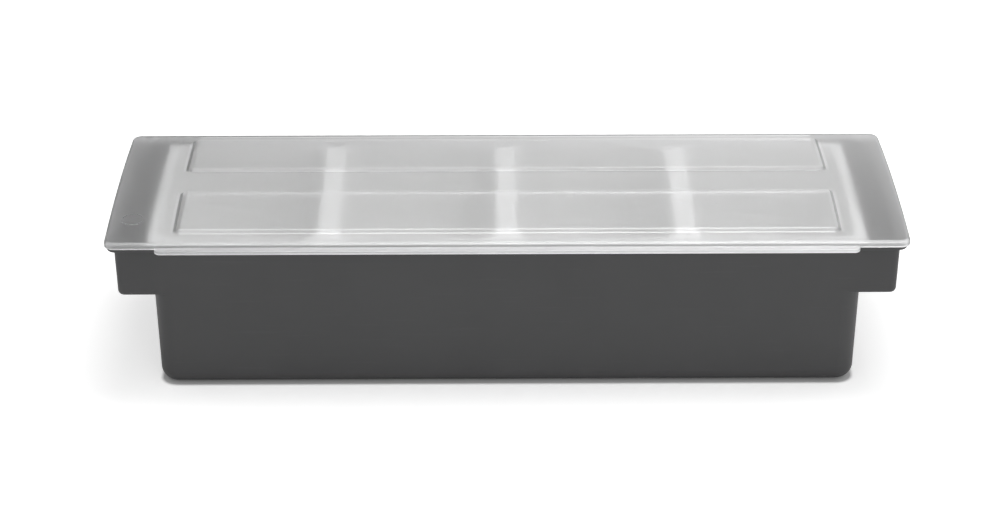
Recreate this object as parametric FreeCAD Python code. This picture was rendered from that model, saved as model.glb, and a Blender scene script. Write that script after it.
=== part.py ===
import FreeCAD, Part
import math
import os

from FreeCAD import Vector

# A table-top condiment holder: a dark tray with ear pockets, four white bins that lift out,
# and an arched frosted lid that turns on two pins behind the tray.
# Millimetres. X runs along the holder, the front faces -Y, Z is up, and the holder stands on Z = 0.

# Bins
insert_count = 4
insert_length = 112.0
insert_depth = 142.9
insert_height = 87.0
insert_flange = 4.2
insert_flange_thickness = 2.0
insert_flange_corner = 3.0
insert_flange_edge = 0.6
insert_wall = 1.8
insert_floor = 2.0
insert_corner = 13.5
insert_bottom_radius = 8.0
insert_draft_degrees = 3.5
insert_foot_width = 9.0
insert_foot_height = 0.6
insert_drop = 1.6

# Tray
tray_wall = 2.5
tray_floor = 3.0
tray_draft_degrees = 1.1
ice_space = 9.0
end_space = 17.6
ear_drop = 35.7
ear_corner = 4.5
ear_bottom_radius = 3.5
ear_inner_corner = 2.0
ear_inner_radius = 1.0
body_corner = 13.0
body_bottom_radius = 9.5
rim_overhang = 4.0
rim_thickness = 2.6
rim_corner = 6.5
rim_edge = 0.7
rim_cove = 1.6
ledge_lip = 1.6
foot_width = 10.0
foot_height = 0.8

# Lid
lid_overhang = 1.3
hinge_overhang = 2.0
lid_wall = 2.0
lid_skirt = 4.1
lid_crown = 3.7
lid_corner = 6.5
lid_edge = 2.5
lid_inner_edge = 0.5
panel_from_end = 42.0
panel_from_edge = 11.5
panel_gap = 29.5
panel_height = 1.8
panel_bevel = 2.0
panel_corner = 4.2
panel_rounding = 1.5
lip_from_end = 31.7
lip_reach = 4.5
lip_rise = 1.6
lip_nose_rise = 0.8
lip_drop = 1.8
lip_corner = 3.7
lip_edge = 0.8
ring_diameter = 14.0
ring_width = 0.8
ring_height = 0.3
ring_from_end = 15.2
ring_from_front = 29.5

# Hinge
hinge_from_back = 2.75
hinge_drop = 2.6
pin_radius = 1.4
pin_head_radius = 2.4
pin_head_thickness = 1.2
pin_chamfer = 0.3
lug_width = 5.0
lug_radius = 2.75
lid_open_degrees = 105.0
bracket_thickness = 2.6
bracket_radius = 2.75
bracket_gusset = 9.0
hinge_from_ear_end = 1.0
arm_length = 30.0
arm_thickness = 2.4

# Clearances
insert_gap = 0.4
insert_clearance = 0.4
ledge_clearance = 0.4
body_clearance = 1.35
lid_rest_gap = 0.3
hinge_side_gap = 0.3
stop_gap = 0.1
pin_running_gap = 0.06
pin_press_gap = 0.02
pin_end_gap = 0.4
notch_clearance = 0.6
overrun = 1.0
match_tolerance = 0.001
fillet_limit_share = 0.97

# Worked out from the sizes above
tray_slope = math.tan(math.radians(tray_draft_degrees))
insert_slope = math.tan(math.radians(insert_draft_degrees))
insert_pitch = insert_length + insert_gap
row_length = insert_count * insert_pitch - insert_gap
insert_body_length = insert_length - 2 * insert_flange
insert_body_depth = insert_depth - 2 * insert_flange

insert_bottom = tray_floor + ice_space
insert_top = insert_bottom + insert_height
rim_height = insert_top + insert_drop
ear_underside = rim_height - ear_drop
ear_floor = ear_underside + tray_wall
tray_inner_depth = insert_depth + 2 * insert_clearance
tray_depth = tray_inner_depth + 2 * tray_wall
ear_inner_length = row_length + 2 * end_space
ear_length = ear_inner_length + 2 * tray_wall
rim_length = ear_length + 2 * rim_overhang
rim_depth = tray_depth + 2 * rim_overhang
row_body_length = row_length - 2 * insert_flange
pinch_length = row_body_length - 2 * (insert_top - ear_floor) * insert_slope
body_length = pinch_length + 2 * (body_clearance + tray_wall + ear_drop * tray_slope)
ledge_width = insert_flange + insert_clearance - ledge_clearance
ledge_top = insert_top - insert_flange_thickness

lid_length = rim_length + 2 * lid_overhang
lid_depth = rim_depth + lid_overhang + hinge_overhang
lid_front = lip_reach / 2 - lid_depth / 2
lid_back = lid_front + lid_depth
lid_middle = (lid_front + lid_back) / 2
lid_bottom = rim_height + lid_rest_gap
lid_edge_height = lid_bottom + lid_skirt
arch_radius = ((lid_depth / 2) ** 2 + lid_crown ** 2) / (2 * lid_crown)
arch_centre = lid_edge_height + lid_crown - arch_radius
panel_length = lid_length - 2 * panel_from_end
panel_depth = (lid_depth - 2 * panel_from_edge - panel_gap) / 2
panel_spacing = panel_depth + panel_gap
lip_length = lid_length - 2 * lip_from_end

tray_middle = lid_front + lid_overhang + rim_depth / 2
rear_wall = tray_middle + tray_depth / 2
hinge_y = lid_back - hinge_from_back
hinge_z = rim_height - hinge_drop
lid_open = math.radians(lid_open_degrees)
heel_reach = hinge_y - rear_wall - stop_gap
heel_length = (heel_reach + lug_radius * math.cos(lid_open)) / math.sin(lid_open)
head_outer = ear_length / 2 - hinge_from_ear_end
head_inner = head_outer - pin_head_thickness
lug_outer = head_inner - hinge_side_gap
lug_inner = lug_outer - lug_width
bracket_outer = lug_inner - hinge_side_gap
bracket_inner = bracket_outer - bracket_thickness


def rounded_outline(length, depth, radius, middle, height):
    """Level rectangle with round corners, centred on X = 0 and Y = middle."""
    half_length = length / 2
    half_depth = depth / 2
    bulge = radius * (1 - math.sqrt(0.5))
    edges = []
    ends = []
    for along, across in ((1, -1), (1, 1), (-1, 1), (-1, -1)):
        x = along * half_length
        y = middle + across * half_depth
        on_side = Vector(x, y - across * radius, height)
        on_front = Vector(x - along * radius, y, height)
        top = Vector(x - along * bulge, y - across * bulge, height)
        first, last = (on_front, on_side) if along * across < 0 else (on_side, on_front)
        edges.append(Part.Arc(first, top, last).toShape())
        ends.append((first, last))
    for number, (first, last) in enumerate(ends):
        following = ends[(number + 1) % len(ends)][0]
        edges.append(Part.makeLine(last, following))
    return Part.Wire(Part.__sortEdges__(edges))


def prism(outline, height):
    return Part.Face(outline).extrude(Vector(0, 0, height))


def drafted_block(length, depth, radius, low, high, reference, slope, foot_radius):
    """Block with leaning walls and a rounded foot; its sizes are those at the reference height.

    The foot's rounding stays within the corner that it runs round.
    """
    outlines = []
    for height in (low, high):
        lean = (height - reference) * slope
        plan = (length + 2 * lean, depth + 2 * lean, radius + lean)
        outlines.append(rounded_outline(*plan, tray_middle, height))
    block = Part.makeLoft(outlines, True, True)
    foot_corner = radius + (low - reference) * slope
    return block.makeFillet(min(foot_radius, foot_corner * fillet_limit_share), level_edges(block, low))


def level_edges(shape, height):
    """Edges that lie flat at one height."""
    found = []
    for edge in shape.Edges:
        box = edge.BoundBox
        if abs(box.ZMin - height) < match_tolerance and abs(box.ZMax - height) < match_tolerance:
            found.append(edge)
    return found


def side_profile(points, start, width):
    """Solid whose outline is given by (y, z) points, from X = start over a width."""
    corners = [Vector(start, y, z) for y, z in points]
    outline = Part.makePolygon(corners + corners[:1])
    return Part.Face(outline).extrude(Vector(width, 0, 0))


def cross_bar(radius, start, width):
    """Round bar along X on the hinge axis."""
    return Part.makeCylinder(radius, width, Vector(start, hinge_y, hinge_z), Vector(1, 0, 0))


def box_between(x_range, y_range, z_range):
    corner = Vector(x_range[0], y_range[0], z_range[0])
    return Part.makeBox(x_range[1] - x_range[0], y_range[1] - y_range[0], z_range[1] - z_range[0], corner)


def mirrored(shape):
    return shape.mirror(Vector(0, 0, 0), Vector(1, 0, 0))


def tray_block(length, depth, radius, low, high, foot_radius):
    return drafted_block(length, depth, radius, low, high, rim_height, tray_slope, foot_radius)


def tray_outside():
    """Lower body, ear blocks and rim before they are hollowed."""
    body = tray_block(body_length, tray_depth, body_corner, 0, rim_height, body_bottom_radius)
    ears = tray_block(ear_length, tray_depth, ear_corner, ear_underside, rim_height, ear_bottom_radius)
    rim_low = rim_height - rim_thickness
    rim = prism(rounded_outline(rim_length, rim_depth, rim_corner, tray_middle, rim_low), rim_thickness)
    rim = rim.makeFillet(rim_edge, level_edges(rim, rim_low) + level_edges(rim, rim_height))
    outside = body.fuse([ears, rim]).removeSplitter()
    under_rim = []
    for edge in level_edges(outside, rim_low):
        box = edge.BoundBox
        across = max(box.YMax - tray_middle, tray_middle - box.YMin)
        if across < tray_depth / 2 and max(box.XMax, -box.XMin) < ear_length / 2:
            under_rim.append(edge)
    return outside.makeFillet(rim_cove, under_rim)


def tray_inside():
    """Hollows of the lower body and of the ear pockets."""
    high = rim_height + overrun
    depth = tray_inner_depth
    length = body_length - 2 * tray_wall
    corner = body_corner - tray_wall
    body = tray_block(length, depth, corner, tray_floor, high, body_bottom_radius - tray_wall)
    ears = tray_block(ear_inner_length, depth, ear_inner_corner, ear_floor, high, ear_inner_radius)
    return [body, ears]


def ledges():
    """Ledges along the front and back walls, which carry the bin flanges."""
    bars = []
    for side in (-1, 1):
        wall = tray_middle + side * (tray_inner_depth + tray_wall) / 2
        nose = tray_middle + side * (tray_inner_depth / 2 - ledge_width)
        points = (
            (wall, ledge_top),
            (nose, ledge_top),
            (nose, ledge_top - ledge_lip),
            (wall, ledge_top - ledge_lip - ledge_width - tray_wall / 2),
        )
        bars.append(side_profile(points, -row_length / 2, row_length))
    return bars


def hinge_bracket():
    """Right-hand bracket behind the back wall, before its pin's bore."""
    root = rear_wall - tray_wall / 2
    low = hinge_z - bracket_radius
    points = (
        (root, rim_height),
        (hinge_y, rim_height),
        (hinge_y, low),
        (root, low - bracket_gusset),
    )
    plate = side_profile(points, bracket_inner, bracket_thickness)
    return plate.fuse(cross_bar(bracket_radius, bracket_inner, bracket_thickness)).removeSplitter()


def pin_bore():
    """Right-hand bore for the hinge pin, through the bracket and a little way into the rim."""
    start = bracket_inner - pin_end_gap
    return cross_bar(pin_radius + pin_press_gap, start, bracket_outer + overrun - start)


def rim_notch():
    """Right-hand gap in the back of the rim, where the lid's lug turns."""
    low = rim_height - rim_thickness - rim_cove - overrun
    return box_between(
        (bracket_outer, head_outer + notch_clearance),
        (rear_wall, rear_wall + rim_overhang + overrun),
        (low, rim_height + overrun),
    )


def underside_recess():
    """Shallow recess that leaves the tray standing on a foot around its edge."""
    lean = rim_height * tray_slope
    inset = 2 * (lean + body_bottom_radius + foot_width)
    corner = body_corner - lean
    outline = rounded_outline(body_length - inset, tray_depth - inset, corner, tray_middle, -overrun)
    return prism(outline, foot_height + overrun)


def make_tray():
    notch = rim_notch()
    tray = tray_outside().cut(tray_inside() + [notch, mirrored(notch), underside_recess()])
    bracket = hinge_bracket()
    tray = tray.fuse(ledges() + [bracket, mirrored(bracket)]).removeSplitter()
    bore = pin_bore()
    return tray.cut([bore, mirrored(bore)])


def arch_block(inset, drop, low):
    """Lid-shaped block under the arch, moved in by inset and lowered by drop."""
    length = lid_length - 2 * inset
    depth = lid_depth - 2 * inset
    radius = arch_radius - drop
    reach = depth / 2 + overrun
    edge = arch_centre + math.sqrt(radius ** 2 - reach ** 2)
    start = -length / 2 - overrun
    eaves = [Vector(start, lid_middle + side * reach, edge) for side in (-1, 1)]
    crown = Vector(start, lid_middle, arch_centre + radius)
    feet = [Vector(start, lid_middle + side * reach, low) for side in (1, -1)]
    arch = Part.Arc(eaves[0], crown, eaves[1]).toShape()
    sides = Part.makePolygon([eaves[1]] + feet + [eaves[0]])
    block = Part.Face(Part.Wire([arch] + sides.Edges)).extrude(Vector(length + 2 * overrun, 0, 0))
    plan = rounded_outline(length, depth, lid_corner - inset, lid_middle, low)
    return block.common(prism(plan, crown.z - low + overrun))


def upper_edges(shape, low):
    """Edges around the top of a lid block, none of which reaches down to its foot."""
    return [edge for edge in shape.Edges if edge.BoundBox.ZMin > low + match_tolerance]


def lid_shell():
    """Arched top with its skirt."""
    outside = arch_block(0, 0, lid_bottom)
    outside = outside.makeFillet(lid_edge, upper_edges(outside, lid_bottom))
    low = lid_bottom - overrun
    inside = arch_block(lid_wall, lid_wall, low)
    inside = inside.makeFillet(lid_inner_edge, upper_edges(inside, low))
    return outside, inside


def on_arch(edge, rise):
    """Whether both ends of an edge lie on the lid's arch, lifted by rise."""
    spans = [math.hypot(end.Y - lid_middle, end.Z - arch_centre) for end in edge.Vertexes]
    return all(abs(span - arch_radius - rise) < match_tolerance for span in spans)


def raised_panel(middle):
    """One raised panel of the lid's top with bevelled sides, and the hollow underneath it."""
    blocks = []
    for inset, drop in ((0, -panel_height), (lid_wall, lid_wall - panel_height)):
        plan = rounded_outline(
            panel_length - 2 * inset, panel_depth - 2 * inset, panel_corner, middle, lid_bottom
        )
        height = lid_skirt + lid_crown + panel_height + overrun
        block = arch_block(lid_edge, drop, lid_bottom).common(prism(plan, height))
        blocks.append(block.makeChamfer(panel_bevel, upper_edges(block, lid_bottom)))
    panel, hollow = blocks
    brow = [edge for edge in panel.Edges if on_arch(edge, panel_height)]
    return panel.makeFillet(panel_rounding, brow), hollow


def round_panel_feet(shell):
    """Lid top with the creases around its raised panels rounded."""
    reach = lid_depth / 2 - panel_from_edge
    creases = []
    for edge in shell.Edges:
        box = edge.BoundBox
        inside = box.XLength < panel_length and abs(box.Center.y - lid_middle) < reach
        if inside and abs(box.Center.x) < panel_length / 2 and on_arch(edge, 0):
            creases.append(edge)
    return shell.makeFillet(panel_rounding, creases)


def finger_lip():
    """Solid lip along the front edge, with round ends."""
    root = lid_front + lid_wall / 2
    nose = lid_front - lip_reach
    low = lid_bottom - lip_drop
    points = (
        (root, lid_bottom + lip_rise),
        (nose, lid_bottom + lip_nose_rise),
        (nose, low),
        (lid_front, low),
        (lid_front, lid_bottom),
        (root, lid_bottom),
    )
    bar = side_profile(points, -lip_length / 2, lip_length)
    depth = lip_reach + lid_depth / 2
    plan = rounded_outline(lip_length, depth, lip_corner, nose + depth / 2, low - overrun)
    bar = bar.common(prism(plan, lip_drop + lip_rise + 2 * overrun))
    outer = upper_edges(bar, lid_bottom) + level_edges(bar, low)
    free = [edge for edge in outer if edge.BoundBox.YMin < lid_front - match_tolerance]
    return bar.makeFillet(lip_edge, free)


def hinge_lug():
    """Right-hand lug with its heel, neck and stiffening arm."""
    neck_top = lid_edge_height - lid_wall / 2
    neck = side_profile(
        (
            (hinge_y - lug_radius, hinge_z),
            (hinge_y + lug_radius, hinge_z),
            (hinge_y + lug_radius, lid_edge_height - lid_edge),
            (hinge_y, neck_top),
            (hinge_y - lug_radius, neck_top),
        ),
        lug_inner,
        lug_width,
    )
    heel = side_profile(
        (
            (hinge_y, hinge_z),
            (hinge_y, hinge_z - heel_length),
            (hinge_y + lug_radius, hinge_z - heel_length),
            (hinge_y + lug_radius, hinge_z),
        ),
        lug_inner,
        lug_width,
    )
    arm_root = hinge_y - lug_radius / 2
    arm_low = lid_bottom + hinge_side_gap
    arm = side_profile(
        (
            (arm_root, arm_low),
            (arm_root, neck_top),
            (arm_root - arm_length, neck_top + lid_crown / 2),
            (arm_root - arm_length, neck_top),
        ),
        (lug_inner + lug_outer - arm_thickness) / 2,
        arm_thickness,
    )
    arm = arm.common(arch_block(lid_wall, lid_wall / 2, lid_bottom))
    lug = neck.fuse([heel, cross_bar(lug_radius, lug_inner, lug_width), arm]).removeSplitter()
    bore_start = lug_inner - overrun
    return lug.cut(cross_bar(pin_radius + pin_running_gap, bore_start, lug_width + 2 * overrun))


def skirt_notch():
    """Right-hand gap in the back of the skirt, clear of the bracket and the pin."""
    return box_between(
        (bracket_inner - notch_clearance, head_outer + notch_clearance),
        (lid_back - lid_wall - overrun, lid_back + overrun),
        (lid_bottom - overrun, lid_edge_height - lid_edge),
    )


def moulded_ring():
    """Plain ring that stands up a little from the front left of the lid's top."""
    centre = Vector(ring_from_end - lid_length / 2, lid_front + ring_from_front, lid_bottom)
    height = lid_skirt + lid_crown + overrun
    tube = Part.makeCylinder(ring_diameter / 2, height, centre)
    tube = tube.cut(Part.makeCylinder(ring_diameter / 2 - ring_width, height, centre))
    top = arch_block(lid_edge, -ring_height, lid_bottom)
    return tube.common(top.cut(arch_block(lid_edge, lid_wall / 2, lid_bottom)))


def make_lid():
    shell, inside = lid_shell()
    panels = [raised_panel(lid_middle + side * panel_spacing / 2) for side in (-1, 1)]
    shell = round_panel_feet(shell.fuse([panel for panel, hollow in panels]))
    notch = skirt_notch()
    shell = shell.fuse(finger_lip())
    shell = shell.cut([inside, notch, mirrored(notch)] + [hollow for panel, hollow in panels])
    lug = hinge_lug()
    return shell.fuse([lug, mirrored(lug), moulded_ring()]).removeSplitter()


def insert_block(inset, low, high):
    length = insert_body_length - 2 * inset
    depth = insert_body_depth - 2 * inset
    corner = insert_corner - inset
    foot_radius = insert_bottom_radius - inset
    return drafted_block(length, depth, corner, low, high, insert_top, insert_slope, foot_radius)


def make_insert():
    """One bin at X = 0, hung by its flange."""
    body = insert_block(0, insert_bottom, insert_top)
    flange = prism(
        rounded_outline(insert_length, insert_depth, insert_flange_corner, tray_middle, ledge_top),
        insert_flange_thickness,
    )
    flange = flange.makeFillet(insert_flange_edge, level_edges(flange, insert_top))
    inside = insert_block(insert_wall, insert_bottom + insert_floor, insert_top + overrun)
    lean = insert_height * insert_slope
    inset = 2 * (lean + insert_bottom_radius + insert_foot_width)
    recess = prism(
        rounded_outline(
            insert_body_length - inset,
            insert_body_depth - inset,
            insert_corner - lean,
            tray_middle,
            insert_bottom - overrun,
        ),
        insert_foot_height + overrun,
    )
    return body.fuse(flange).cut([inside, recess]).removeSplitter()


def make_pin():
    """Right-hand hinge pin, pressed into the bracket, with its head outside the lug."""
    shank = cross_bar(pin_radius, bracket_inner, head_inner - bracket_inner)
    head = cross_bar(pin_head_radius, head_inner, pin_head_thickness)
    rim = [edge for edge in head.Edges if abs(edge.BoundBox.XMin - head_outer) < match_tolerance]
    head = head.makeChamfer(pin_chamfer, rim)
    return shank.fuse(head).removeSplitter()


def all_pieces():
    pieces = {"base_tray": make_tray(), "lid": make_lid()}
    insert = make_insert()
    for number in range(insert_count):
        place = Vector((number - (insert_count - 1) / 2) * insert_pitch, 0, 0)
        moved = insert.copy()
        moved.translate(place)
        pieces["insert_" + str(number + 1)] = moved
    pin = make_pin()
    pieces["hinge_pin_right"] = pin
    pieces["hinge_pin_left"] = mirrored(pin)
    return pieces


os.makedirs("parts", exist_ok=True)
for name, shape in all_pieces().items():
    if len(shape.Solids) != 1 or not shape.isValid():
        raise ValueError(name + " is not one sound solid")
    solid = shape.Solids[0]
    solid.exportStep("parts/" + name + ".step")
    print(name, solid.Volume, solid.BoundBox)
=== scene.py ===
import math

import bpy
import numpy as np
from mathutils import Matrix, Vector

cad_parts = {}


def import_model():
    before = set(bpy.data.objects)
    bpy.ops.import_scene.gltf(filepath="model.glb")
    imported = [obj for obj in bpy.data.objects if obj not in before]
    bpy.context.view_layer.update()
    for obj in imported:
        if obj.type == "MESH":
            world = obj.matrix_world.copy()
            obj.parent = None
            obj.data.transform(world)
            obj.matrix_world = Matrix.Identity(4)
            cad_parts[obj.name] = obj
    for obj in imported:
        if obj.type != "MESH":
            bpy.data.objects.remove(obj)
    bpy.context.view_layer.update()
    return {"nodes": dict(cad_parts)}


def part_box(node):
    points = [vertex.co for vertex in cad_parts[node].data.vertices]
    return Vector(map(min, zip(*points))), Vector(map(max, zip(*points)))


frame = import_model()
nodes = frame["nodes"]
scene = bpy.context.scene

# Camera, fitted to the edges of the lid, ears and foot in the photograph
IMAGE_WIDTH = 1000
SENSOR_WIDTH = 36.0
CAMERA_TARGET = (-0.00421, 0.00225, 0.05412)
CAMERA_DISTANCE = 1.6791
CAMERA_PITCH = math.radians(27.532)
CAMERA_YAW = math.radians(0.2796)
CAMERA_ROLL = math.radians(-0.0697)
FOCAL_PIXELS = 2566.1
CAMERA_SIGHT = 20.0

# Lid: its edges, its lip along the front, and heights from the skirt's foot
LID_LOW, LID_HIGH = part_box("lid")
LID_CORNER = 0.0065
LID_HEIGHT = 0.009426
LIP_REACH = 0.0045
LIP_ROOT_AHEAD = 0.00025
FRONT_STRIP = 0.0038
SKIRT_BAND = 0.0011
BROW_RISE = 0.0021
LINES_RISE = 0.00435
LID_END = LID_HIGH.x
LID_BACK = LID_HIGH.y
LID_FRONT = LID_LOW.y + LIP_REACH
LIP_ROOT = LID_FRONT - LIP_ROOT_AHEAD
SKIRT_FOOT = LID_HIGH.z - LID_HEIGHT
SKIRT_BAND_TOP = SKIRT_FOOT + SKIRT_BAND
BROW_HEIGHT = SKIRT_FOOT + BROW_RISE
LINES_HEIGHT = SKIRT_FOOT + LINES_RISE

# Raised panels of the lid, each from its front edge to its back edge
PANEL_FROM_END = 0.0420
PANEL_FROM_EDGE = 0.0115
PANEL_GAP = 0.0295
PANEL_BEVEL = 0.0020
PANEL_END = LID_END - PANEL_FROM_END
PANEL_DEPTH = (LID_BACK - LID_FRONT - 2 * PANEL_FROM_EDGE - PANEL_GAP) / 2
FRONT_PANEL = (LID_FRONT + PANEL_FROM_EDGE, LID_FRONT + PANEL_FROM_EDGE + PANEL_DEPTH)
BACK_PANEL = (LID_BACK - PANEL_FROM_EDGE - PANEL_DEPTH, LID_BACK - PANEL_FROM_EDGE)

# Lines along the lid, painted highlights and one painted shade: place in depth and strength of the lit ones,
# then the dark one
BACK_PANEL_SHOULDER = 0.00335
LID_BACK_ROLL = 0.00545
DARK_LINE_AHEAD = 0.0008
PAINTED_HIGHLIGHT_LINES = (
    (FRONT_PANEL[0], 1.0),
    (FRONT_PANEL[0] + PANEL_BEVEL, 1.0),
    (FRONT_PANEL[1] - PANEL_BEVEL, 0.8),
    (BACK_PANEL[0] + PANEL_BEVEL, 0.8),
    (BACK_PANEL[1] - BACK_PANEL_SHOULDER, 1.8),
    (LID_BACK - LID_BACK_ROLL, 2.0),
)
DARK_LINE = BACK_PANEL[0] - DARK_LINE_AHEAD
DARK_LINE_STRENGTH = 0.6
LINE_HALF_WIDTH = 0.0010
LINES_SHORT_OF_END = 0.0040
LINES_FADE = 0.0010
LINES_RISE_FADE = 0.00025

# Painted shade line at each panel's end, and the thin painted highlight beside it
END_LINE_INSET = 0.0009
END_LINE = PANEL_END - END_LINE_INSET
END_LINE_HALF_WIDTH = 0.0010
END_LINE_FADE = 0.0003
END_FADE = 0.0015
BEAM_OFFSET = 0.0021
BEAM_HALF_WIDTH = 0.0008
BEAM_STRENGTH = 0.35

# Painted shade along the lid's back and end edges
SHADE_BACK_INSET = 0.00225
SHADE_BACK = LID_BACK - SHADE_BACK_INSET
SHADE_WIDTH = 0.0022
SHADE_FULL_SHARE = 0.35

# Masks of the painted glow on the lid's front: fades in metres, then limits and fades of the normal's Y
FRONT_FADE = 0.0002
SKIRT_BAND_FADE = 0.0003
BROW_FADE = 0.0004
FORWARD_TURN = -0.3
FORWARD_FADE = 0.2
STEEP_TURN = -0.65
STEEP_FADE = 0.25

# Bins that hang in the tray
BIN_COUNT = 4

# Outline of the tray's foot on the floor, where the floor's glow is taken away for a painted contact shade
TRAY_LOW, TRAY_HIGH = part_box("base_tray")
RIM_DEPTH = 0.1567
FOOT_FROM_RIM = 0.00595
FOOT_FROM_END = 0.0276
FOOT_CORNER = 0.0111
FOOT_HALF_LENGTH = TRAY_HIGH.x - FOOT_FROM_END
FOOT_HALF_DEPTH = RIM_DEPTH / 2 - FOOT_FROM_RIM
FOOT_MIDDLE = TRAY_LOW.y + RIM_DEPTH / 2
CONTACT_REACH = 0.00025
CONTACT_FADE = 0.00125

# Floor: its own light makes it white to the camera, and less of it shows through the lid and in gloss
FLOOR_REACH = 6.0
FLOOR_COLOUR = (0.86, 0.86, 0.86, 1.0)
FLOOR_GLOW = 0.52
FLOOR_THROUGH = 0.4
FLOOR_MIRRORED = 0.5

# Surround: its plain light, then what is mirrored of it by the ray's height and by its side
WORLD_COLOUR = (1.0, 1.0, 1.0, 1.0)
WORLD_LIGHT = 0.47
WORLD_THROUGH = 0.95
SWEEP_HEIGHTS = (0.29, 0.62)
SWEEP_LIGHT = (1.85, 0.45)
SKYLINE_HEIGHTS = (0.03, 0.20)
SKYLINE_LIGHT = (0.30, 1.0)
SIDE_SPAN = (-0.25, 0.25)
SIDE_LIGHT = (0.25, 1.55)

# Skin of the mouldings and its rubbed edges
TRAY_GRAIN = 2200.0
GRAIN_DETAIL = 2.0
MOTTLE_SCALE = 24.0
MOTTLE_DETAIL = 3.0
MOTTLE_RANGE = (0.32, 0.68)
SCUFF_TURN = (0.3, 0.2, 0.5)
SCUFF_SCALE = (22.0, 600.0, 600.0)
SCUFF_DETAIL = 1.0
SCUFF_RANGE = (0.66, 0.74)
WEAR_RADIUS = 0.0008
WEAR_GAIN = 5.0
WEAR_SAMPLES = 6
WEAR_SCALE = 160.0
WEAR_DETAIL = 3.0
WEAR_RANGE = (0.35, 0.65)
WEAR_SHARES = (0.45, 1.0)
SCUFF_WEAR = 0.06
WEAR_POLISH = 0.12
HARD_BUMP = 0.5

# Frosted plastic of the lid, with painted shade and a painted glow on its edges and lines
LID_GRAIN = 1500.0
LID_MOTTLE = 16.0
LID_TINTS = ((0.942, 0.944, 0.948, 1.0), (0.968, 0.970, 0.974, 1.0))
# Colour and share of the painted shade along the lid's edges and dark lines
PAINTED_SHADE_COLOUR = (0.2, 0.2, 0.205, 1.0)
EDGE_SHADE = 0.8
FROST_ROUGHNESS = (0.35, 0.38)
UNDERSIDE_ROUGHNESS = 0.2
SCUFF_ROUGHNESS = 0.04
TOP_TURN = 0.3
TOP_FADE = 0.2
LID_TRANSMISSION = 0.98
LID_REFRACTION = 1.49
LID_SHADOW_TINT = (0.92, 0.92, 0.92, 1.0)
# Strengths of the painted glow, an emission standing in for highlights on the lid's lit edges and lines, and
# its rise from the left end to the right
LIP_PAINTED_GLOW = 0.1
FRONT_PAINTED_GLOW = 0.05
BROW_PAINTED_GLOW = 0.17
LINE_PAINTED_GLOW = 0.3
PAINTED_GLOW_BY_SIDE = (0.6, 1.3)
PAINTED_GLOW_COLOURS = ((0.0, 0.0, 0.0, 1.0), (1.0, 1.0, 1.0, 1.0))
FROST_DEPTH = 0.00002
FROST_BUMP = 0.3


def place_camera():
    """Camera at CAMERA_DISTANCE from its target, turned by pitch, yaw and roll.

    Forward points along +Y, turned sideways by the yaw and down by the pitch. Right lies level across it,
    up is their cross product, and the roll turns right and up about forward.
    """
    pitch, yaw, roll = CAMERA_PITCH, CAMERA_YAW, CAMERA_ROLL
    forward = np.array((math.sin(yaw) * math.cos(pitch), math.cos(yaw) * math.cos(pitch), -math.sin(pitch)))
    right = np.array((math.cos(yaw), -math.sin(yaw), 0.0))
    up = np.cross(right, forward)
    matrix = np.eye(4)
    matrix[:3, 0] = math.cos(roll) * right + math.sin(roll) * up
    matrix[:3, 1] = -math.sin(roll) * right + math.cos(roll) * up
    matrix[:3, 2] = -forward
    matrix[:3, 3] = np.array(CAMERA_TARGET) - forward * CAMERA_DISTANCE
    data = bpy.data.cameras.new("camera")
    data.sensor_fit = "HORIZONTAL"
    data.sensor_width = SENSOR_WIDTH
    data.lens = FOCAL_PIXELS * SENSOR_WIDTH / IMAGE_WIDTH
    data.clip_end = CAMERA_SIGHT
    camera = bpy.data.objects.new("camera", data)
    camera.matrix_world = Matrix(matrix.tolist())
    scene.collection.objects.link(camera)
    scene.camera = camera


def add(tree, kind, inputs=(), **settings):
    """One shader node; inputs are (socket, value or other socket) pairs."""
    node = tree.nodes.new(kind)
    for key, value in settings.items():
        setattr(node, key, value)
    for name, value in inputs:
        if isinstance(value, bpy.types.NodeSocket):
            tree.links.new(value, node.inputs[name])
        else:
            node.inputs[name].default_value = value
    return node


def maths(tree, operation, first, second=0.0, clamp=False):
    """One arithmetic step on two values, held between 0 and 1 if clamp is set."""
    node = add(tree, "ShaderNodeMath", ((0, first), (1, second)), operation=operation, use_clamp=clamp)
    return node.outputs[0]


def between(tree, value, low, high, to_low=0.0, to_high=1.0):
    """value mapped from low..high to to_low..to_high, held at the ends."""
    pairs = (
        ("Value", value), ("From Min", low), ("From Max", high), ("To Min", to_low), ("To Max", to_high),
    )
    return add(tree, "ShaderNodeMapRange", pairs).outputs[0]


def before(tree, value, limit, fade):
    """1 where value is under the limit, falling to 0 over a fade to either side of it."""
    return between(tree, value, limit - fade, limit + fade, 1.0, 0.0)


def past(tree, value, limit, fade):
    """0 where value is under the limit, rising to 1 over a fade to either side of it."""
    return between(tree, value, limit - fade, limit + fade)


def off(tree, value, middle):
    """Distance of value from middle, to either side."""
    return maths(tree, "ABSOLUTE", maths(tree, "SUBTRACT", value, middle))


def ridge(tree, value, middle, half_width):
    """1 where value is at middle, falling to 0 at half_width to either side."""
    return between(tree, off(tree, value, middle), 0.0, half_width, 1.0, 0.0)


def overshoot(tree, along, across):
    """Distance past a round corner's centre lines: the length of what is positive in along and across."""
    squares = [maths(tree, "POWER", maths(tree, "MAXIMUM", value, 0.0), 2.0) for value in (along, across)]
    return maths(tree, "SQRT", maths(tree, "ADD", *squares))


def split(tree, vector):
    """The X, Y and Z of a vector."""
    return add(tree, "ShaderNodeSeparateXYZ", ((0, vector),)).outputs


def coordinates(tree, kind):
    """One kind of texture coordinate: a piece's own place or normal, or a ray's direction in the world."""
    return add(tree, "ShaderNodeTexCoord").outputs[kind]


def blend_value(tree, share, first, second):
    """first and second mixed by share; a Mix node takes numbers in its sockets 2 and 3."""
    return add(tree, "ShaderNodeMix", ((0, share), (2, first), (3, second))).outputs[0]


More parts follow.
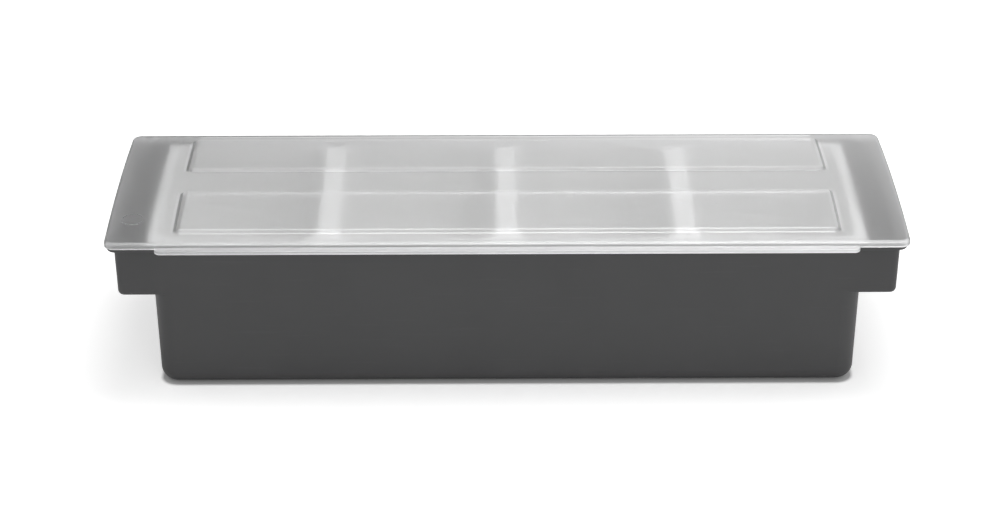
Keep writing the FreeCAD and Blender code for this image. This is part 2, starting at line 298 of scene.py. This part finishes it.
def blend_colour(tree, share, first, second):
    """first and second mixed by share; a Mix node takes colours in its sockets 6 and 7."""
    pairs = ((0, share), (6, first), (7, second))
    return add(tree, "ShaderNodeMix", pairs, data_type="RGBA").outputs[2]


def node_group(name, inputs, outputs):
    """Empty group with its sockets; returns the group, its input node's and its output node's sockets."""
    group = bpy.data.node_groups.new(name, "ShaderNodeTree")
    for label, kind, value in inputs:
        socket = group.interface.new_socket(label, in_out="INPUT", socket_type="NodeSocket" + kind)
        if value is not None:
            socket.default_value = value
    for label in outputs:
        group.interface.new_socket(label, in_out="OUTPUT", socket_type="NodeSocketFloat")
    return group, group.nodes.new("NodeGroupInput").outputs, group.nodes.new("NodeGroupOutput").inputs


def noise(tree, vector, scale, detail):
    """Smooth noise of about 0 to 1, with about scale waves to a unit of the vector."""
    pairs = (("Vector", vector), ("Scale", scale), ("Detail", detail))
    return add(tree, "ShaderNodeTexNoise", pairs).outputs[0]


def moulded_skin():
    """Skin of moulded plastic: fine spark-eroded grain, broad mottle and thin scuffs.

    Each is noise over the place. The scuffs' noise is stretched along one turned direction, and only its
    peaks are kept.
    """
    group, given, out = node_group(
        "moulded_skin",
        (("Vector", "Vector", None), ("Grain", "Float", TRAY_GRAIN), ("Mottle", "Float", MOTTLE_SCALE)),
        ("Grain", "Mottle", "Scuff"),
    )
    place = given["Vector"]
    grain = noise(group, place, given["Grain"], GRAIN_DETAIL)
    mottle = noise(group, place, given["Mottle"], MOTTLE_DETAIL)
    pairs = (("Vector", place), ("Rotation", SCUFF_TURN), ("Scale", SCUFF_SCALE))
    stretched = add(group, "ShaderNodeMapping", pairs).outputs[0]
    streak = noise(group, stretched, 1.0, SCUFF_DETAIL)
    group.links.new(grain, out["Grain"])
    group.links.new(between(group, mottle, *MOTTLE_RANGE), out["Mottle"])
    group.links.new(between(group, streak, *SCUFF_RANGE), out["Scuff"])
    return group


def worn_edge():
    """Mask of rubbed edges: where the surface turns within Radius, broken up by noise.

    The turn is 1 less the cosine between the true normal and the normal smoothed over Radius.
    """
    group, given, out = node_group(
        "worn_edge",
        (("Vector", "Vector", None), ("Radius", "Float", WEAR_RADIUS), ("Gain", "Float", WEAR_GAIN)),
        ("Edge",),
    )
    smoothed = add(group, "ShaderNodeBevel", (("Radius", given["Radius"]),), samples=WEAR_SAMPLES).outputs[0]
    normal = add(group, "ShaderNodeNewGeometry").outputs["Normal"]
    cosine = add(group, "ShaderNodeVectorMath", ((0, smoothed), (1, normal)), operation="DOT_PRODUCT")
    turn = maths(group, "SUBTRACT", 1.0, cosine.outputs["Value"])
    spots = noise(group, given["Vector"], WEAR_SCALE, WEAR_DETAIL)
    broken = between(group, spots, *WEAR_RANGE, *WEAR_SHARES)
    rubbed = maths(group, "MULTIPLY", maths(group, "MULTIPLY", turn, given["Gain"]), broken, clamp=True)
    group.links.new(rubbed, out["Edge"])
    return group


def painted_outline_shade():
    """Mask of the painted shade: 1 along the lid's back and end edges, falling to 0 at Width inside them.

    The distance is that to a rectangle with round corners, open towards the front: the corner's radius
    less the overshoot past the corner's centre lines.
    """
    group, given, out = node_group(
        "painted_outline_shade", (("Vector", "Vector", None), ("Width", "Float", SHADE_WIDTH)), ("Mask",),
    )
    parts = split(group, given["Vector"])
    along = maths(group, "SUBTRACT", maths(group, "ABSOLUTE", parts["X"]), LID_END - LID_CORNER)
    across = maths(group, "SUBTRACT", parts["Y"], SHADE_BACK - LID_CORNER)
    inside = maths(group, "SUBTRACT", LID_CORNER, overshoot(group, along, across))
    share = maths(group, "DIVIDE", inside, given["Width"])
    group.links.new(between(group, share, SHADE_FULL_SHARE, 1.0, 1.0, 0.0), out["Mask"])
    return group


def lip_painted_glow_mask():
    """Front faces that get a painted glow, standing in for light that leaves the plastic there.

    Mask is 1 on the steep faces of the lip and of the skirt's foot, Front on every face of the front strip
    that looks forward, and Brow on the part of those that is the top's front edge.
    """
    group, given, out = node_group("lip_painted_glow_mask", (("Vector", "Vector", None),), ("Mask", "Brow", "Front"))
    parts = split(group, given["Vector"])
    turn = split(group, coordinates(group, "Normal"))["Y"]
    strip = before(group, parts["Y"], LIP_ROOT + FRONT_STRIP, FRONT_FADE)
    front = maths(group, "MULTIPLY", strip, before(group, turn, FORWARD_TURN, FORWARD_FADE))
    lip = before(group, parts["Y"], LIP_ROOT, FRONT_FADE)
    foot = before(group, parts["Z"], SKIRT_BAND_TOP, SKIRT_BAND_FADE)
    steep = before(group, turn, STEEP_TURN, STEEP_FADE)
    lit = maths(group, "MULTIPLY", maths(group, "MAXIMUM", lip, foot), steep)
    brow = maths(group, "MULTIPLY", front, past(group, parts["Z"], BROW_HEIGHT, BROW_FADE))
    group.links.new(lit, out["Mask"])
    group.links.new(brow, out["Brow"])
    group.links.new(front, out["Front"])
    return group


def border_mask():
    """Painted lines on the lid's top: Light is a painted highlight where light leaves the plastic, Dark is a
    painted shade where it runs past.

    Lines along the lid are ridges over the depth, kept to the panels' length. Lines at the panels' ends
    are bands over the length, kept to the panels' depth.
    """
    group, given, out = node_group("border_mask", (("Vector", "Vector", None),), ("Light", "Dark"))
    parts = split(group, given["Vector"])
    along = maths(group, "ABSOLUTE", parts["X"])
    on_top = past(group, parts["Z"], LINES_HEIGHT, LINES_RISE_FADE)
    in_length = before(group, along, PANEL_END - LINES_SHORT_OF_END, LINES_FADE)
    in_length = maths(group, "MULTIPLY", in_length, on_top)
    light = 0.0
    for place, strength in PAINTED_HIGHLIGHT_LINES:
        line = maths(group, "MULTIPLY", ridge(group, parts["Y"], place, LINE_HALF_WIDTH), strength)
        light = maths(group, "MAXIMUM", light, line)
    light = maths(group, "MULTIPLY", light, in_length)
    dark = maths(group, "MULTIPLY", ridge(group, parts["Y"], DARK_LINE, LINE_HALF_WIDTH), DARK_LINE_STRENGTH)
    dark = maths(group, "MULTIPLY", dark, in_length)
    off_middles = [off(group, parts["Y"], sum(panel) / 2) for panel in (FRONT_PANEL, BACK_PANEL)]
    in_depth = before(group, maths(group, "MINIMUM", *off_middles), PANEL_DEPTH / 2 - END_FADE, END_FADE)
    in_depth = maths(group, "MULTIPLY", in_depth, on_top)
    off_end = off(group, along, END_LINE)
    end = maths(group, "MULTIPLY", before(group, off_end, END_LINE_HALF_WIDTH, END_LINE_FADE), in_depth)
    beam = maths(group, "MULTIPLY", ridge(group, off_end, BEAM_OFFSET, BEAM_HALF_WIDTH), in_depth)
    beam = maths(group, "MULTIPLY", beam, BEAM_STRENGTH)
    group.links.new(maths(group, "MAXIMUM", light, beam), out["Light"])
    group.links.new(maths(group, "MAXIMUM", dark, end), out["Dark"])
    return group


def new_material(name):
    """Empty material with its Object coordinates and Principled shader, and the socket for its surface."""
    material = bpy.data.materials.new(name)
    material.use_nodes = True
    tree = material.node_tree
    tree.nodes.clear()
    place = coordinates(tree, "Object")
    shader = add(tree, "ShaderNodeBsdfPrincipled")
    surface = add(tree, "ShaderNodeOutputMaterial").inputs["Surface"]
    return material, tree, place, shader, surface


def place_group(tree, group, place, **values):
    """A group in a material, reading the place, with its own values; returns its outputs."""
    node = add(tree, "ShaderNodeGroup", (), node_tree=group)
    tree.links.new(place, node.inputs["Vector"])
    for name, value in values.items():
        node.inputs[name].default_value = value
    return node.outputs


def bumped(tree, shader, height, distance, strength):
    """Bump of the given height under a shader."""
    pairs = (("Height", height), ("Distance", distance), ("Strength", strength))
    tree.links.new(add(tree, "ShaderNodeBump", pairs).outputs[0], shader.inputs["Normal"])


def hard_plastic(name, skin, edge, dark, light, rubbed, roughness, gloss_range, grain, depth, wear):
    """Opaque moulded plastic: mottled colour, scuffs, rubbed edges, grain in the bump.

    Roughness follows the mottle by gloss_range to either side, and drops where the plastic is rubbed.
    """
    material, tree, place, shader, surface = new_material(name)
    marks = place_group(tree, skin, place, Grain=grain)
    edges = place_group(tree, edge, place, Gain=wear)
    colour = blend_colour(tree, marks["Mottle"], dark, light)
    worn = maths(tree, "MAXIMUM", edges["Edge"], maths(tree, "MULTIPLY", marks["Scuff"], SCUFF_WEAR))
    tree.links.new(blend_colour(tree, worn, colour, rubbed), shader.inputs["Base Color"])
    gloss = between(tree, marks["Mottle"], 0.0, 1.0, roughness - gloss_range, roughness + gloss_range)
    polished = maths(tree, "SUBTRACT", gloss, maths(tree, "MULTIPLY", worn, WEAR_POLISH))
    tree.links.new(polished, shader.inputs["Roughness"])
    bumped(tree, shader, marks["Grain"], depth, HARD_BUMP)
    tree.links.new(shader.outputs[0], surface)
    return material


def lid_glow(tree, place, lip_glow_masks, lines):
    """Painted glow of the lid, an emission standing in for lit edges: each lit mask times its strength,
    added, and stronger to the right as painted side light.
    """
    glow = 0.0
    lit_masks = (
        (lip_glow_masks["Mask"], LIP_PAINTED_GLOW),
        (lip_glow_masks["Front"], FRONT_PAINTED_GLOW),
        (lip_glow_masks["Brow"], BROW_PAINTED_GLOW),
        (lines["Light"], LINE_PAINTED_GLOW),
    )
    for mask, strength in lit_masks:
        glow = maths(tree, "ADD", glow, maths(tree, "MULTIPLY", mask, strength))
    by_side = between(tree, split(tree, place)["X"], -LID_END, LID_END, *PAINTED_GLOW_BY_SIDE)
    return maths(tree, "MULTIPLY", glow, by_side)


def frosted_plastic(name, skin, outline, lip, border):
    """Translucent plastic, frosted outside and smoother below.

    Its tint is mottled and darkens with painted shade along its edges and dark lines, and its lit edges and
    lines glow with painted highlights. Shadow rays pass through it, a little dimmed.
    """
    material, tree, place, shader, surface = new_material(name)
    marks = place_group(tree, skin, place, Grain=LID_GRAIN, Mottle=LID_MOTTLE)
    rim = place_group(tree, outline, place)
    lip_glow_masks = place_group(tree, lip, place)
    lines = place_group(tree, border, place)
    tint = blend_colour(tree, marks["Mottle"], *LID_TINTS)
    # Painted shade: the tint is mixed towards the dark shade colour along the outline and the dark lines
    dark = maths(tree, "MULTIPLY", maths(tree, "MAXIMUM", rim["Mask"], lines["Dark"]), EDGE_SHADE)
    tree.links.new(blend_colour(tree, dark, tint, PAINTED_SHADE_COLOUR), shader.inputs["Base Color"])
    upward = split(tree, coordinates(tree, "Normal"))["Z"]
    outer = maths(tree, "MAXIMUM", past(tree, upward, TOP_TURN, TOP_FADE), lip_glow_masks["Front"])
    frost = between(tree, marks["Mottle"], 0.0, 1.0, *FROST_ROUGHNESS)
    gloss = blend_value(tree, outer, UNDERSIDE_ROUGHNESS, frost)
    scuffed = maths(tree, "ADD", gloss, maths(tree, "MULTIPLY", marks["Scuff"], SCUFF_ROUGHNESS))
    tree.links.new(scuffed, shader.inputs["Roughness"])
    shader.inputs["Transmission Weight"].default_value = LID_TRANSMISSION
    shader.inputs["IOR"].default_value = LID_REFRACTION
    # Painted glow: emission on the lit edges and lines, standing in for highlights
    glow = blend_colour(tree, lid_glow(tree, place, lip_glow_masks, lines), *PAINTED_GLOW_COLOURS)
    tree.links.new(glow, shader.inputs["Emission Color"])
    shader.inputs["Emission Strength"].default_value = 1.0
    bumped(tree, shader, maths(tree, "MULTIPLY", marks["Grain"], outer), FROST_DEPTH, FROST_BUMP)
    shadow = add(tree, "ShaderNodeLightPath").outputs["Is Shadow Ray"]
    clear = add(tree, "ShaderNodeBsdfTransparent", (("Color", LID_SHADOW_TINT),))
    pairs = ((0, shadow), (1, shader.outputs[0]), (2, clear.outputs[0]))
    tree.links.new(add(tree, "ShaderNodeMixShader", pairs).outputs[0], surface)
    return material


def dress(name, material):
    """Gives a CAD node one material on all its faces."""
    slots = nodes[name].data.materials
    slots.clear()
    slots.append(material)


def beside_foot(tree):
    """0 under the tray's foot, rising to 1 just outside it. Under it the floor's glow is cut, so the shade
    there is cast and also painted in the foot's outline.

    The distance is that to a rectangle with round corners: the overshoot past the corners' centre lines,
    less the corner's radius.
    """
    parts = split(tree, coordinates(tree, "Object"))
    along = maths(tree, "SUBTRACT", maths(tree, "ABSOLUTE", parts["X"]), FOOT_HALF_LENGTH - FOOT_CORNER)
    across = maths(tree, "SUBTRACT", off(tree, parts["Y"], FOOT_MIDDLE), FOOT_HALF_DEPTH - FOOT_CORNER)
    return past(tree, overshoot(tree, along, across), FOOT_CORNER + CONTACT_REACH, CONTACT_FADE)


def floor_card():
    """Pale card that shows white to the camera, except under the tray's foot, where its glow is cut for a
    painted contact shade, and keeps the cast shadow.
    """
    material = bpy.data.materials.new("floor_card")
    material.use_nodes = True
    tree = material.node_tree
    tree.nodes.clear()
    path = add(tree, "ShaderNodeLightPath").outputs
    through = path["Is Transmission Ray"]
    seen = maths(tree, "MAXIMUM", path["Is Camera Ray"], maths(tree, "MULTIPLY", through, FLOOR_THROUGH))
    mirrored = maths(tree, "MULTIPLY", path["Is Glossy Ray"], maths(tree, "SUBTRACT", 1.0, through))
    seen = maths(tree, "MAXIMUM", seen, maths(tree, "MULTIPLY", mirrored, FLOOR_MIRRORED))
    # Painted contact shade: the glow is cut under the tray's foot
    strength = maths(tree, "MULTIPLY", maths(tree, "MULTIPLY", seen, beside_foot(tree)), FLOOR_GLOW)
    card = add(tree, "ShaderNodeBsdfDiffuse", (("Color", FLOOR_COLOUR),))
    glow = add(tree, "ShaderNodeEmission", (("Strength", strength),))
    both = add(tree, "ShaderNodeAddShader", ((0, card.outputs[0]), (1, glow.outputs[0])))
    surface = add(tree, "ShaderNodeOutputMaterial").inputs["Surface"]
    tree.links.new(both.outputs[0], surface)
    return material


def lay_floor():
    """Square floor under the holder, FLOOR_REACH to each side."""
    reach = FLOOR_REACH
    corners = [(-reach, -reach, 0.0), (reach, -reach, 0.0), (reach, reach, 0.0), (-reach, reach, 0.0)]
    mesh = bpy.data.meshes.new("floor")
    mesh.from_pydata(corners, [], [(0, 1, 2, 3)])
    mesh.materials.append(floor_card())
    floor = bpy.data.objects.new("floor", mesh)
    scene.collection.objects.link(floor)


def light_world():
    """White surround: plain white to the camera, and an even light on the holder.

    What the holder mirrors is a band of light that is brightest low down, dims at the skyline and grows to
    the right. What the lid lets through is the same, held under WORLD_THROUGH.
    """
    world = bpy.data.worlds.new("surround")
    scene.world = world
    world.use_nodes = True
    tree = world.node_tree
    tree.nodes.clear()
    path = add(tree, "ShaderNodeLightPath").outputs
    seen = maths(tree, "ADD", path["Is Camera Ray"], path["Is Glossy Ray"])
    seen = maths(tree, "ADD", seen, path["Is Transmission Ray"], clamp=True)
    way = split(tree, coordinates(tree, "Generated"))
    sweep = between(tree, way["Z"], *SWEEP_HEIGHTS, *SWEEP_LIGHT)
    skyline = between(tree, way["Z"], *SKYLINE_HEIGHTS, *SKYLINE_LIGHT)
    by_side = between(tree, way["X"], *SIDE_SPAN, *SIDE_LIGHT)
    mirrored = maths(tree, "MULTIPLY", maths(tree, "MULTIPLY", sweep, skyline), by_side)
    dimmed = maths(tree, "MINIMUM", mirrored, WORLD_THROUGH)
    shown = blend_value(tree, path["Is Transmission Ray"], mirrored, dimmed)
    shown = blend_value(tree, path["Is Camera Ray"], shown, 1.0)
    strength = blend_value(tree, seen, WORLD_LIGHT, shown)
    back = add(tree, "ShaderNodeBackground", (("Color", WORLD_COLOUR), ("Strength", strength)))
    surface = add(tree, "ShaderNodeOutputWorld").inputs["Surface"]
    tree.links.new(back.outputs[0], surface)


def soft_box(name, place, aim, width, height, power):
    """Rectangular lamp at place, turned to face aim."""
    data = bpy.data.lights.new(name, "AREA")
    data.shape = "RECTANGLE"
    data.size = width
    data.size_y = height
    data.energy = power
    lamp = bpy.data.objects.new(name, data)
    lamp.location = place
    lamp.rotation_euler = (Vector(aim) - Vector(place)).to_track_quat("-Z", "Y").to_euler()
    scene.collection.objects.link(lamp)


place_camera()
lay_floor()
light_world()
soft_box("top_soft_box", place=(0.2, 0.25, 1.7), aim=(0.05, 0.0, 0.1), width=1.1, height=0.5, power=11.5)
soft_box("right_soft_box", place=(1.7, 1.3, 1.3), aim=(0.0, 0.0, 0.05), width=1.2, height=0.8, power=2.5)
soft_box("front_soft_box", place=(0.45, -2.2, 1.4), aim=(0.0, 0.0, 0.05), width=1.2, height=0.8, power=6.4)

skin = moulded_skin()
edge = worn_edge()
tray_plastic = hard_plastic(
    "tray_plastic", skin, edge,
    dark=(0.056, 0.056, 0.0575, 1.0), light=(0.063, 0.063, 0.0645, 1.0), rubbed=(0.12, 0.12, 0.122, 1.0),
    roughness=0.5, gloss_range=0.04, grain=TRAY_GRAIN, depth=0.00004, wear=3.0,
)
bin_plastic = hard_plastic(
    "bin_plastic", skin, edge,
    dark=(0.80, 0.80, 0.795, 1.0), light=(0.84, 0.84, 0.835, 1.0), rubbed=(0.88, 0.88, 0.875, 1.0),
    roughness=0.38, gloss_range=0.05, grain=1600.0, depth=0.00003, wear=2.0,
)
pin_plastic = hard_plastic(
    "pin_plastic", skin, edge,
    dark=(0.03, 0.03, 0.032, 1.0), light=(0.04, 0.04, 0.042, 1.0), rubbed=(0.09, 0.09, 0.092, 1.0),
    roughness=0.36, gloss_range=0.04, grain=2600.0, depth=0.00002, wear=3.0,
)
lid_plastic = frosted_plastic("lid_plastic", skin, painted_outline_shade(), lip_painted_glow_mask(), border_mask())

dress("base_tray", tray_plastic)
dress("lid", lid_plastic)
for number in range(1, BIN_COUNT + 1):
    dress("insert_" + str(number), bin_plastic)
for side in ("left", "right"):
    dress("hinge_pin_" + side, pin_plastic)

scene.view_settings.view_transform = "Standard"
